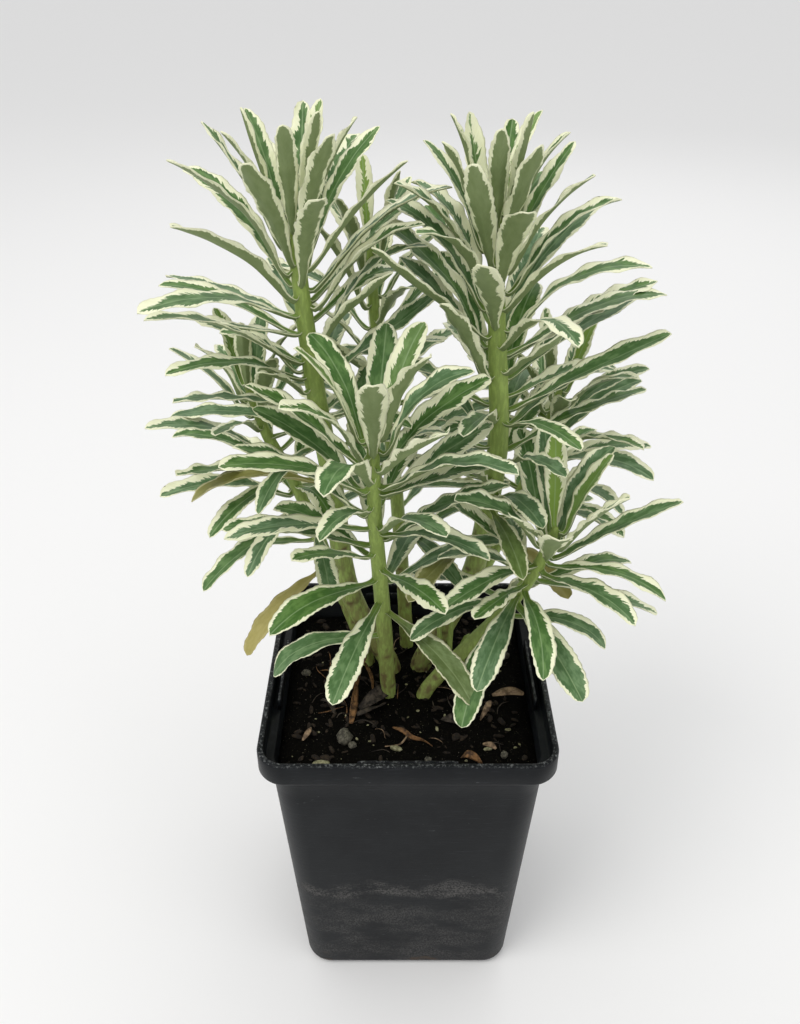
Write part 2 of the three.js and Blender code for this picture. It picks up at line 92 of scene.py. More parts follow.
# ---- Litter, in pieces ----
BARK_CHIPS = 230
GRIT_GRAINS = 44
THREADS = 48

# ---- Camera, in pot widths ----
CAMERA_BACK = 2.632
CAMERA_ABOVE_RIM = 2.322
CAMERA_LEFT = 0.026
CAMERA_PITCH_DEGREES = 32.3
CAMERA_LENS_MM = 33.22


# ---- Reading the CAD ----
def graph_of(node):
    """A CAD node's points, in metres, and the points that each shares an edge with."""
    bm = bmesh.new()
    bm.from_mesh(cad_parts[node].data)
    bmesh.ops.remove_doubles(bm, verts=bm.verts, dist=2e-6)
    bm.verts.index_update()
    points = [vert.co.copy() for vert in bm.verts]
    links = [[edge.other_vert(vert).index for edge in vert.link_edges] for vert in bm.verts]
    bm.free()
    return points, links


def layers_from(start, links, allowed):
    """Point numbers one edge from the start, two edges from it, and so on."""
    seen = {start}
    layer = [start]
    layers = []
    while layer:
        near = {other for point in layer for other in links[point]}
        layer = sorted((near & allowed) - seen)
        seen.update(layer)
        if layer:
            layers.append(layer)
    return layers


def mean(points):
    total = Vector()
    for point in points:
        total += point
    return total / len(points)


def smooth_path(points, step):
    """Points at an even step along a smooth curve through the points given."""
    ends = [points[0] * 2 - points[1], *points, points[-1] * 2 - points[-2]]
    fine = []
    for a, b, c, d in zip(ends, ends[1:], ends[2:], ends[3:]):
        for tenth in range(10):
            t = tenth / 10
            fine.append(0.5 * (2 * b + (c - a) * t + (2 * a - 5 * b + 4 * c - d) * t * t
                               + (3 * b - a - 3 * c + d) * t ** 3))
    fine.append(points[-1].copy())
    lengths = [0.0]
    for a, b in zip(fine, fine[1:]):
        lengths.append(lengths[-1] + (b - a).length)
    count = max(2, round(lengths[-1] / step))
    path = []
    index = 0
    for number in range(count + 1):
        wanted = lengths[-1] * number / count
        while index < len(fine) - 2 and lengths[index + 1] < wanted:
            index += 1
        stretch = lengths[index + 1] - lengths[index]
        share = (wanted - lengths[index]) / stretch if stretch else 0.0
        path.append(fine[index].lerp(fine[index + 1], min(share, 1.0)))
    return path, lengths[-1]


class Stem:
    """A stem's axis and radius, read from its CAD node."""

    def __init__(self, node):
        points, links = graph_of(node)
        caps = sorted(range(len(points)), key=lambda i: len(links[i]))[-2:]
        start = min(caps, key=lambda i: points[i].z)
        rings = layers_from(start, links, set(range(len(points))) - set(caps))
        self.axis = [mean([points[i] for i in ring]) for ring in rings]
        self.radii = [sum((points[i] - middle).length for i in ring) / len(ring)
                      for ring, middle in zip(rings, self.axis)]

    def nearest(self, point):
        """The nearest place on the axis, the radius there and how far along it is."""
        best = None
        travelled = 0.0
        for a, b, ra, rb in zip(self.axis, self.axis[1:], self.radii, self.radii[1:]):
            along = b - a
            share = max(0.0, min(1.0, (point - a).dot(along) / along.length_squared))
            place = a + along * share
            distance = (point - place).length
            if best is None or distance < best[0]:
                best = (distance, place, ra + (rb - ra) * share, travelled + along.length * share)
            travelled += along.length
        return best


def leaves_of(node, stem):
    """The leaves of a collar node: for each, the midrib's points, the directions that its
    upper side faces there, and its full width."""
    points, links = graph_of(node)
    reach = COLLAR_REACH_MM * MM
    free = {i for i, point in enumerate(points)
            if stem.nearest(point)[0] > stem.nearest(point)[2] + reach}
    leaves = []
    while free:
        first = min(free)
        island = {first}
        for layer in layers_from(first, links, free):
            island.update(layer)
        free -= island
        if len(island) < 10:
            continue
        leaves.append(leaf_from(points, links, island, stem))
    return leaves


def leaf_from(points, links, island, stem):
    root = [i for i in island if any(other not in island for other in links[i])]
    centre = mean([points[i] for i in root]) if root else mean([points[i] for i in island])
    tip = max(island, key=lambda i: (points[i] - centre).length)
    rings = [ring for ring in layers_from(tip, links, island) if len(ring) == 3]
    midrib = [points[tip]]
    facing = []
    widths = []
    for ring in rings:
        corners = [points[i] for i in ring]
        pairs = [(a, b) for a in corners for b in corners if a is not b]
        left, right = max(pairs, key=lambda pair: (pair[0] - pair[1]).length)
        keel = next(c for c in corners if c is not left and c is not right)
        top = (left + right) / 2
        facing.append((top - keel).normalized())
        midrib.append((top + keel) / 2)
        widths.append((left - right).length)
    facing.insert(0, facing[0])
    midrib.reverse()
    facing.reverse()
    _, place, radius, along = stem.nearest(midrib[0])
    outward = (midrib[0] - place).normalized()
    midrib.insert(0, place + outward * (radius * 0.7))
    facing.insert(0, facing[0])
    return {"midrib": midrib, "facing": facing, "width": max(widths), "along": along}


# ---- Meshes ----
class MeshMaker:
    """Collects rings and grids of points into one mesh, with named values for materials."""

    def __init__(self, *value_names):
        self.points = []
        self.faces = []
        self.places = []
        self.values = {name: [] for name in value_names}

    def point(self, place, **values):
        self.points.append(place)
        for name, collected in self.values.items():
            collected.append(values.get(name, (0.0, 0.0, 0.0)))
        return len(self.points) - 1

    def face(self, corners, places=None):
        self.faces.append(corners)
        self.places.append(places)

    def tube(self, rings):
        """Faces between rings of point numbers, each running anticlockwise from its end."""
        for low, high in zip(rings, rings[1:]):
            count = len(low)
            for i in range(count):
                j = (i + 1) % count
                self.face((low[i], low[j], high[j], high[i]))

    def make(self, name, material, *replaced):
        mesh = bpy.data.meshes.new(name)
        mesh.from_pydata([tuple(point) for point in self.points], [], self.faces)
        for value_name, collected in self.values.items():
            attribute = mesh.attributes.new(value_name, "FLOAT_VECTOR", "POINT")
            attribute.data.foreach_set("vector", [number for value in collected for number in value])
        if any(self.places):
            layer = mesh.uv_layers.new(name="OFBake")
            corners = [corner for places in self.places for corner in places]
            layer.data.foreach_set("uv", [number for corner in corners for number in corner])
        mesh.polygons.foreach_set("use_smooth", [True] * len(mesh.polygons))
        mesh.materials.append(material)
        mesh.validate()
        piece = bpy.data.objects.new(name, mesh)
        bpy.context.scene.collection.objects.link(piece)
        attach(piece, BODY)
        if replaced:
            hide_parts(*replaced)
        return piece


# ---- Material building ----
class Surface:
    """A material's node tree, with short calls for the nodes that the materials share."""

    def __init__(self, name, roughness, **constants):
        self.material = bpy.data.materials.new(name)
        self.material.use_nodes = True
        self.nodes = self.material.node_tree.nodes
        self.shader = self.nodes["Principled BSDF"]
        self.shader.inputs["Roughness"].default_value = roughness
        for socket, value in constants.items():
            self.shader.inputs[socket.replace("_", " ")].default_value = value

    def node(self, kind, inputs, **settings):
        node = self.nodes.new(kind)
        for setting, value in settings.items():
            setattr(node, setting, value)
        for socket, value in inputs.items():
            self.set(node.inputs[socket], value)
        return node

    def set(self, socket, value):
        if isinstance(value, bpy.types.NodeSocket):
            self.material.node_tree.links.new(value, socket)
        else:
            socket.default_value = value

    def math(self, operation, a, b=0.0, c=0.0, clamp=False):
        inputs = {0: a, 1: b, 2: c}
        return self.node("ShaderNodeMath", inputs, operation=operation, use_clamp=clamp).outputs[0]

    def value(self, name):
        """The three numbers of a named value that the mesh carries."""
        reader = self.node("ShaderNodeAttribute", {}, attribute_name=name)
        parts = self.node("ShaderNodeSeparateXYZ", {0: reader.outputs["Vector"]})
        return parts.outputs[0], parts.outputs[1], parts.outputs[2]

    def vector(self, x, y, z):
        return self.node("ShaderNodeCombineXYZ", {0: x, 1: y, 2: z}).outputs[0]

    def place(self, stretch=(1.0, 1.0, 1.0)):
        """The place on the object in its own frame, in millimetres, stretched by axis."""
        reader = self.node("ShaderNodeTexCoord", {})
        scaled = self.node("ShaderNodeVectorMath", {0: reader.outputs["Object"],
                           1: tuple(part / MM for part in stretch)}, operation="MULTIPLY")
        return scaled.outputs[0]

    def noise(self, where, scale, detail=3.0, roughness=0.55):
        inputs = {"Vector": where, "Scale": scale, "Detail": detail, "Roughness": roughness}
        return self.node("ShaderNodeTexNoise", inputs).outputs["Fac"]

    def step(self, amount, low, high):
        """0 below low, 1 above high, and smooth between them. They may run downwards."""
        inputs = {"Value": amount, "From Min": low, "From Max": high}
        settings = {"interpolation_type": "SMOOTHSTEP"}
        return self.node("ShaderNodeMapRange", inputs, **settings).outputs[0]

    def mix(self, amount, first, second):
        node = self.nodes.new("ShaderNodeMix")
        node.data_type = "RGBA"
        self.set(node.inputs["Factor"], amount)
        for socket, color in zip((node.inputs[6], node.inputs[7]), (first, second)):
            self.set(socket, (*color, 1.0) if isinstance(color, tuple) else color)
        return node.outputs[2]

    def color(self, color):
        self.set(self.shader.inputs["Base Color"], color)

    def roughness(self, value):
        self.set(self.shader.inputs["Roughness"], value)

    def bump(self, height, distance_mm, strength=1.0):
        inputs = {"Height": height, "Distance": distance_mm * MM, "Strength": strength}
        self.set(self.shader.inputs["Normal"], self.node("ShaderNodeBump", inputs).outputs[0])


# ---- Materials ----
def leaf_material():
    """A waxy leaf: grey-green with an irregular cream edge, a pale midrib and fine veins.

    The mesh gives each point's place on its leaf in millimetres (along, across and in from
    the edge), the leaf's nature (a number of its own, how young it is and how much cream it
    has) and its side (1 underneath), tone and how withered it is."""
    surface = Surface("leaf_cream_edged", 0.5, Specular_IOR_Level=0.3)
    along, across, inward = surface.value("leaf_place")
    number, youth, creaminess = surface.value("leaf_nature")
    underside, tone, withered = surface.value("leaf_side")
    aside = surface.math("ABSOLUTE", across)
    half_width = surface.math("ADD", aside, inward)
    own = surface.math("MULTIPLY", number, 100.0)
    sided = surface.math("ADD", surface.math("MULTIPLY", surface.math("SIGN", across), 7.0), own)

    # The cream runs in from the edge in tongues that slant forward, as the veins do.
    slanted = surface.math("MULTIPLY_ADD", aside, -1.5, along)
    tongue_place = surface.vector(surface.math("MULTIPLY", slanted, 0.75),
                                  surface.math("MULTIPLY", aside, 0.22), sided)
    tongues = surface.noise(tongue_place, 1.0, 4.0, 0.62)
    broad = surface.noise(surface.vector(surface.math("MULTIPLY", along, 0.07), sided, 0.0),
                          1.5, 1.0)
    depth = surface.math("MULTIPLY_ADD", surface.step(broad, 0.34, 0.70), 1.3,
                         surface.math("MULTIPLY_ADD", tongues, 3.6, -1.0))
    blade = surface.step(along, 2.0, 17.0)
    fullness = surface.math("MULTIPLY", surface.math("MULTIPLY", half_width, 0.24, clamp=True),
                            surface.math("MULTIPLY_ADD", underside, -0.35, 1.0))
    depth = surface.math("MULTIPLY", surface.math("MAXIMUM", depth, 0.0),
                         surface.math("MULTIPLY", fullness, blade))
    width = surface.math("MULTIPLY_ADD", depth, creaminess,
                         surface.math("MULTIPLY_ADD", blade, 0.18, 0.13))
    cream = surface.step(surface.math("SUBTRACT", inward, width), 0.10, -0.10)

    feather = surface.vector(surface.math("MULTIPLY", along, 0.42), across, own)
    patch = surface.noise(feather, 0.5, 3.0, 0.55)
    grey = surface.mix(tone, (0.080, 0.160, 0.066), (0.053, 0.137, 0.020))
    light = surface.mix(tone, (0.170, 0.275, 0.145), (0.110, 0.220, 0.045))
    deep = surface.mix(surface.step(patch, 0.40, 0.66), grey, light)
    base_green = surface.mix(surface.step(along, 13.0, 1.5), deep, (0.205, 0.310, 0.065))
    fresh = surface.mix(youth, base_green, (0.25, 0.38, 0.07))
    vein_wave = surface.math("SINE", surface.math("MULTIPLY", slanted, 3.2))
    rib = surface.step(aside, 0.34, 0.10)
    ribbed = surface.mix(surface.math("MULTIPLY", rib, 0.42), fresh, (0.34, 0.46, 0.24))
    below = surface.mix(patch, (0.130, 0.180, 0.062), (0.255, 0.315, 0.150))
    sides = surface.mix(underside, ribbed, below)
    cream_tone = surface.mix(tongues, (0.83, 0.84, 0.54), (0.92, 0.93, 0.73))
    cream_side = surface.mix(surface.math("MULTIPLY", underside, 0.5), cream_tone,
                             (0.68, 0.70, 0.47))
    living = surface.mix(cream, sides, cream_side)
    yellowed = surface.mix(patch, (0.30, 0.26, 0.060), (0.50, 0.42, 0.16))
    surface.color(surface.mix(withered, living, yellowed))
    surface.roughness(surface.math("MULTIPLY_ADD", patch, 0.18, 0.42))
    height = surface.math("MULTIPLY_ADD", vein_wave, 0.10,
                          surface.math("MULTIPLY", surface.noise(feather, 2.2), 0.5))
    surface.bump(height, 0.16, 0.6)
    return surface.material


def stem_material(name, green, young, scar):
    """A stem: smooth and yellow-green, with darker scars where old leaves dropped."""
    surface = Surface(name, 0.5, Specular_IOR_Level=0.35)
    along, scarred, _ = surface.value("stem_place")
    streaks = surface.noise(surface.place((1.0, 1.0, 0.25)), 0.9, 4.0)
    blotches = surface.noise(surface.place((1.0, 1.0, 0.5)), 0.28, 3.0)
    skin = surface.mix(surface.step(along, 0.10, 0.55), green, young)
    lighter = tuple(channel * 1.3 for channel in young)
    mottled = surface.mix(surface.step(streaks, 0.42, 0.66), skin, lighter)
    aged = surface.mix(surface.math("MULTIPLY", surface.step(blotches, 0.50, 0.66),
                                    surface.step(along, 0.45, 0.05)), mottled, scar)
    surface.color(surface.mix(scarred, aged, scar))
    surface.roughness(surface.math("MULTIPLY_ADD", streaks, 0.2, 0.42))
    surface.bump(surface.math("MULTIPLY_ADD", scarred, -0.4, streaks), 0.25, 0.6)
    return surface.material


def pot_material(name, wear_and_highlight_height_mm):
    """Black moulded plastic: faint scuffs along the sides and dried soil low down, with a top
    edge, at the height given, painted pale in patches: partly wear, partly painted highlight."""
    surface = Surface(name, 0.42, Specular_IOR_Level=0.15)
    place = surface.place()
    height = surface.node("ShaderNodeSeparateXYZ", {0: place}).outputs[2]
    scuffs = surface.noise(surface.place((0.05, 0.05, 1.0)), 1.7, 5.0, 0.7)
    cloud = surface.noise(place, 0.035, 4.0, 0.6)
    grain = surface.noise(place, 1.4, 3.0)
    base = surface.mix(surface.step(cloud, 0.35, 0.65), (0.0044, 0.0054, 0.0068),
                       (0.0078, 0.0092, 0.0108))
    scuffed = surface.mix(surface.math("MULTIPLY", surface.step(scuffs, 0.54, 0.74), 0.55), base,
                          (0.030, 0.033, 0.037))
    nicks = surface.step(surface.noise(surface.place((0.45, 0.45, 1.0)), 0.75, 3.0), 0.70, 0.78)
    nicked = surface.mix(surface.math("MULTIPLY", nicks, 0.5), scuffed, (0.085, 0.090, 0.092))

    # Dried soil: a thin film over the lower half, a smeared tide line, and brown stains below.
    smear = surface.noise(surface.place((0.6, 0.6, 1.2)), 0.085, 7.0, 0.70)
    film = surface.math("MULTIPLY", surface.step(height, 76.0, 34.0),
                        surface.step(smear, 0.38, 0.64))
    line_place = surface.math("MULTIPLY_ADD", surface.noise(place, 0.05, 3.0), 22.0, height)
    line = surface.math("MULTIPLY", surface.step(line_place, 61.0, 67.0),
                        surface.step(line_place, 76.0, 69.0))
    dirt_amount = surface.math("MAXIMUM", surface.math("MULTIPLY", film, 0.6),
                               surface.math("MULTIPLY", line, surface.step(smear, 0.40, 0.54)))
    dirt = surface.mix(surface.step(grain, 0.35, 0.65), (0.030, 0.030, 0.030),
                       (0.108, 0.105, 0.101))
    dusty = surface.mix(surface.math("MULTIPLY", dirt_amount, 0.8), nicked, dirt)
    patches = surface.noise(surface.place((0.4, 0.4, 1.0)), 0.16, 4.0)
    stain = surface.math("MULTIPLY", surface.step(height, 15.0, 6.0),
                         surface.step(patches, 0.60, 0.68))
    stained = surface.mix(surface.math("MULTIPLY", stain, 0.45), dusty, (0.075, 0.045, 0.022))

    # Painted highlight and wear: the top edge is painted pale in patches, both for worn plastic and
    # for the glints that the edge catches.
    edge = surface.step(height, wear_and_highlight_height_mm - 0.7, wear_and_highlight_height_mm - 0.1)
    lip_wear_and_highlight = surface.math("MULTIPLY", edge,
                       surface.step(surface.noise(place, 0.9, 5.0, 0.75), 0.50, 0.64))
    surface.color(surface.mix(surface.math("MULTIPLY", lip_wear_and_highlight, 0.7), stained, (0.19, 0.20, 0.20)))
    gloss = surface.math("MULTIPLY_ADD", scuffs, 0.3, 0.27)
    surface.roughness(surface.math("MULTIPLY_ADD", dirt_amount, 0.3, gloss, clamp=True))
    surface.bump(surface.math("MULTIPLY_ADD", scuffs, 0.5, surface.math("MULTIPLY", grain, 0.5)),
                 0.12, 0.5)
    return surface.material


def soil_material():
    """Moist black potting mix with brown crumbs and a few pale specks."""
    surface = Surface("soil_mix", 0.85, Specular_IOR_Level=0.05)
    place = surface.place()
    crumbs = surface.noise(place, 0.9, 6.0, 0.7)
    clods = surface.noise(place, 0.22, 4.0, 0.6)
    dark = surface.mix(clods, (0.0010, 0.0010, 0.0008), (0.0040, 0.0034, 0.0024))
    brown = surface.mix(surface.step(crumbs, 0.57, 0.70), dark, (0.020, 0.016, 0.010))
    specks = surface.step(surface.noise(place, 1.8, 1.0), 0.745, 0.77)
    surface.color(surface.mix(specks, brown, (0.22, 0.20, 0.15)))
    surface.roughness(surface.math("MULTIPLY_ADD", crumbs, -0.4, 1.05, clamp=True))
    surface.bump(crumbs, 1.0, 0.9)
    return surface.material


def litter_material(name, first, second, roughness, scale):
    """Dry plant litter, stone or bark: two tones mixed by a grain along the piece."""
    surface = Surface(name, roughness, Specular_IOR_Level=0.3)
    grain = surface.noise(surface.place(), scale, 4.0, 0.65)
    surface.color(surface.mix(surface.step(grain, 0.36, 0.66), first, second))
    surface.roughness(surface.math("MULTIPLY_ADD", grain, 0.3, roughness - 0.15, clamp=True))
    surface.bump(grain, 0.4, 0.7)
    return surface.material


# ---- Leaves ----
def outline(share):
    """A leaf's half width along it, as a share of its widest: wedge-shaped, then rounded."""
    blade = math.sin(math.pi / 2 * min(1.0, (share / WIDEST) ** 0.95)) ** 1.2
    tip = math.sqrt(max(0.0, 1.0 - max(0.0, (share - WIDEST) / (1.0 - WIDEST)) ** 2.4))
    return max(0.26 + 0.1 * share, blade) * tip


def sample(points, share):
    place = share * (len(points) - 1)
    index = min(int(place), len(points) - 2)
    return points[index].lerp(points[index + 1], place - index)


def add_leaf(maker, leaf, number, height, row, rows):
    """Adds one leaf: an upper and a lower skin that meet at a toothed edge. Its height is its
    share of the way up the shoot's leaves, and the topmost leaves are young and less toothed."""
    youth = max(0.0, (height - 0.93) / 0.07) ** 1.5 * 0.85
    chance = random.Random(number * 7919 + 13)
    path, length = smooth_path(leaf["midrib"], 0.5 * MM)
    half_width = leaf["width"] / 2 * chance.uniform(0.94, 1.08)
    fold = chance.uniform(0.10, 0.5)
    tip_turn = chance.gauss(-0.05, 0.16)
    ripple = chance.uniform(0.25, 0.8) * MM
    ripple_step = chance.uniform(9.0, 15.0) * MM
    phase = chance.uniform(0.0, 6.28)
    tooth_starts = (chance.random(), chance.random())
    toothed = 1.0 - 0.5 * youth
    creaminess = chance.uniform(0.6, 1.25) * (0.45 + 1.0 * min(1.0, height * 1.8))
    nature = (chance_share(number), youth, creaminess)
    tone = chance.random()
    withered = max(0.0, 1.0 - height / 0.16) * (chance.random() < 0.4) * chance.uniform(0.4, 1.0)
    facing = leaf["facing"]
    # Facing directions follow the midrib's points, so their shares come from its lengths.
    shares = [0.0]
    for a, b in zip(leaf["midrib"], leaf["midrib"][1:]):
        shares.append(shares[-1] + (b - a).length)
    shares = [share / shares[-1] for share in shares]

    skins = []
    for station in range(LEAF_STATIONS + 1):
        share = station / LEAF_STATIONS
        centre = sample(path, share)
        ahead = (sample(path, min(1.0, share + 0.02)) - sample(path, max(0.0, share - 0.02)))
        ahead.normalize()
        segment = max(i for i in range(len(shares) - 1) if shares[i] <= share + 1e-9)
        within = (share - shares[segment]) / (shares[segment + 1] - shares[segment])
        above = facing[segment].lerp(facing[segment + 1], within)
        above = (above - ahead * above.dot(ahead)).normalized()
        left = above.cross(ahead)
        droop = tip_turn * length * max(0.0, share - 0.55) ** 2 * 1.6
        upper = []
        lower = []
        width = half_width * outline(share)
        rib = MM * 0.55 * (1.0 - 0.75 * share) * (1.0 - max(0.0, share - 0.8) * 4.5)
        for column in LEAF_COLUMNS:
            side = 0 if column < 0 else 1
            tooth = (share * length / MM / TOOTH_SPACING_MM + tooth_starts[side]) % 1.0
            reach = max(0.0, min(1.0, (share - 0.42) * 6.0)) * (1.0 - max(0.0, share - 0.93) * 14.0)
            notch = TOOTH_DEPTH_MM * MM * toothed * reach * (1.0 - tooth) ** 1.4
            spread = width - notch * abs(column) ** 4
            bowl = fold * (abs(column) ** 1.6) * width * (1.0 - 0.5 * share)
            wave = ripple * abs(column) ** 2.5 * min(1.0, width / (3.0 * MM)) * math.sin(
                share * length / ripple_step * 6.28 + phase + 2.1 * side)
            groove = -0.18 * MM * math.exp(-(column * width / (0.6 * MM)) ** 2)
            top = centre + left * (column * spread) + above * (bowl + wave + groove + droop)
            depth = LEAF_THICKNESS_MM * MM * (1.0 - column ** 4)
            depth += rib * math.exp(-(column * width / (0.7 * MM)) ** 2)
            inward = (1.0 - abs(column)) * spread / MM
            place = (share * length / MM, column * spread / MM, inward)
            point = maker.point(top, leaf_place=place, leaf_nature=nature,
                                leaf_side=(0.0, tone, withered))
            upper.append((point, share, column))
            if abs(column) == 1.0:
                lower.append(upper[-1])
            else:
                point = maker.point(top - above * depth, leaf_place=place, leaf_nature=nature,
                                    leaf_side=(1.0, tone, withered))
                lower.append((point, share, column))
        skins.append((upper, lower))

    for skin, band in ((0, 2 * row), (1, 2 * row + 1)):
        for near, far in zip(skins, skins[1:]):
            for i in range(len(LEAF_COLUMNS) - 1):
                corners = [near[skin][i], near[skin][i + 1], far[skin][i + 1], far[skin][i]]
                if skin == 0:
                    corners.reverse()
                maker.face(tuple(corner[0] for corner in corners),
                           [strip_place(corner, band, 2 * rows) for corner in corners])
    first = [*skins[0][0], *reversed(skins[0][1][1:-1])]
    maker.face(tuple(corner[0] for corner in first),
               [strip_place(corner, 2 * row, 2 * rows) for corner in first])


def chance_share(number):
    return (number * 0.6180339) % 1.0


def strip_place(corner, band, bands):
    """Where a leaf's point lies in the texture: each skin has a strip of its own."""
    _, share, column = corner
    return (0.01 + 0.98 * share, (band + 0.5 + 0.42 * column) / bands)


def make_leaves(stems, material):
    number = 0
    for shoot in SHOOTS:
        stem = stems[shoot]
        nodes = sorted((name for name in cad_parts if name.startswith(f"{shoot}_leaves_")),
                       key=lambda name: int(name.rsplit("_", 1)[1]))
        grown = [leaves_of(name, stem) for name in nodes]
        heights = [leaf["along"] for leaves in grown for leaf in leaves]
        for name, leaves in zip(nodes, grown):
            maker = MeshMaker("leaf_place", "leaf_nature", "leaf_side")
            for row, leaf in enumerate(leaves):
                share = (leaf["along"] - min(heights)) / (max(heights) - min(heights))
                number += 1
                add_leaf(maker, leaf, number, share, row, len(leaves))
            maker.make(f"{name}_fine", material, name)


# ---- Stems ----
def make_stem(node, number, stem, material, scarred_below):
    """A round stem with slightly sunken, scattered leaf scars on its older part."""
    path, length = smooth_path(stem.axis, STEM_STEP_MM * MM)
    chance = random.Random(number * 101 + 7)
    scars = []
    for index in range(int(scarred_below * length / (SCAR_SPACING_MM * MM))):
        height = (index + chance.uniform(0.0, 0.8)) * SCAR_SPACING_MM * MM
        scars.append((height, index * SCAR_TURN + chance.uniform(-0.3, 0.3)))
    maker = MeshMaker("stem_place")
    rings = []
    across = Vector((1, 0, 0))
    for index, centre in enumerate(path):
        before = path[max(0, index - 1)]
        after = path[min(len(path) - 1, index + 1)]
        ahead = (after - before).normalized()
        across = (across - ahead * across.dot(ahead)).normalized()
        beside = ahead.cross(across)
        share = index / (len(path) - 1)
        radius = stem.nearest(centre)[2] * (1.0 - 0.5 * max(0.0, share - 0.97) / 0.03)
        ring = []
        for step in range(STEM_SIDES):
            angle = math.tau * step / STEM_SIDES
            scar = 0.0
            for height, turn in scars:
                apart = abs(height - share * length)
                if apart < 2.0 * MM:
                    turned = abs((angle - turn + math.pi) % math.tau - math.pi) * radius
                    scar = max(scar, 1.0 - math.hypot(apart / (1.1 * MM), turned / (1.9 * MM)))
            scar = max(0.0, scar)
            swell = noise.noise(centre / (6.0 * MM) + Vector((math.cos(angle), math.sin(angle), 0)))
            reach = radius * (1.0 + 0.035 * swell) - 0.18 * MM * min(1.0, scar * 2.0)
            outward = across * (reach * math.cos(angle)) + beside * (reach * math.sin(angle))
            ring.append(maker.point(centre + outward, stem_place=(share, min(1.0, scar * 2.2), 0.0)))
        rings.append(ring)
    maker.tube(rings)
    maker.face(tuple(reversed(rings[0])))
    maker.face(tuple(rings[-1]))
    maker.make(f"{node}_fine", material, node)


# ---- Pot ----
def rounded_square(width, radius, height, steps=14, side_steps=6):
    """Points round a square with rounded corners, anticlockwise seen from above."""
    half = width / 2 - radius
    ring = []
    for corner in range(4):
        middle = Matrix.Rotation(math.radians(90 * corner), 3, "Z") @ Vector((half, half, height))
        for step in range(steps + 1):
            angle = math.radians(90 * (corner + step / steps))
            ring.append(middle + Vector((math.cos(angle), math.sin(angle), 0)) * radius)
        turned = math.radians(90 * (corner + 1))
        nextward = Matrix.Rotation(turned, 3, "Z") @ Vector((half, half, height))
        start = ring[-1]
        end = nextward + Vector((math.cos(turned), math.sin(turned), 0)) * radius
        for step in range(1, side_steps):
            ring.append(start.lerp(end, step / side_steps))
    return ring


class PotShape:
    """The pot's sizes in metres, from its CAD box and the values above."""

    def __init__(self):
        low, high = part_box("pot")
        self.rim_width = high[0] - low[0]
        self.height = high[2]
        self.band_bottom = self.height - RIM_BAND_HEIGHT_MM * MM
        self.radius = CORNER_RADIUS_MM * MM

    def body_width(self, z):
        top = self.rim_width - 2 * RIM_STANDOUT_MM * MM
        foot = FOOT_WIDTH_MM * MM
        return foot + (top - foot) * z / self.band_bottom

    def inner_width(self, z):
        return self.body_width(z) - 2 * POT_WALL_MM * MM


def make_pot(shape, material):
    radius = shape.radius
    wall = POT_WALL_MM * MM
    ledge = shape.band_bottom + wall
    band_inside = shape.rim_width - 2 * RIM_WALL_MM * MM
    profile = []
    for turn in range(0, 91, 15):
        inset = FOOT_ROUNDING_MM * MM * (1 - math.sin(math.radians(turn)))
        z = FOOT_ROUNDING_MM * MM * (1 - math.cos(math.radians(turn)))
        profile.append((shape.body_width(z) - 2 * inset, radius - inset, z))
    for share in (0.15, 0.3, 0.45, 0.6, 0.75, 0.9):
        z = shape.band_bottom * share
        profile.append((shape.body_width(z), radius, z))
    top = shape.band_bottom
    profile += [(shape.body_width(top), radius, top - 0.8 * MM),
                (shape.body_width(top) + 0.6 * MM, radius, top - 0.15 * MM),
                (shape.rim_width - 1.4 * MM, radius, top),
                (shape.rim_width - 0.4 * MM, radius, top + 0.3 * MM),
                (shape.rim_width, radius, top + 1.0 * MM),
                (shape.rim_width, radius, shape.height - 0.9 * MM),
                (shape.rim_width - 0.4 * MM, radius - 0.2 * MM, shape.height - 0.3 * MM),
                (shape.rim_width - 1.4 * MM, radius - 0.7 * MM, shape.height),
                (band_inside + 1.2 * MM, radius - 1.8 * MM, shape.height),
                (band_inside + 0.2 * MM, radius - 2.3 * MM, shape.height - 0.3 * MM),
                (band_inside, radius - 2.4 * MM, shape.height - 1.0 * MM),
                (band_inside, radius - 2.4 * MM, ledge + 0.6 * MM),
                (band_inside - 1.0 * MM, radius - 2.4 * MM, ledge),
                (shape.inner_width(ledge) + 1.0 * MM, radius - wall, ledge),
                (shape.inner_width(ledge), radius - wall, ledge - 0.7 * MM),
                (shape.inner_width(FLOOR_MM * MM), radius - wall, FLOOR_MM * MM)]
    maker = MeshMaker()
    rings = []
    for width, corner_radius, z in profile:
        rings.append([maker.point(point) for point in rounded_square(width, corner_radius, z)])
    maker.tube(rings)
    maker.face(tuple(reversed(rings[0])))
    maker.face(tuple(rings[-1]))
    pot = maker.make("pot_fine", material, "pot")
    cut_foot(pot)


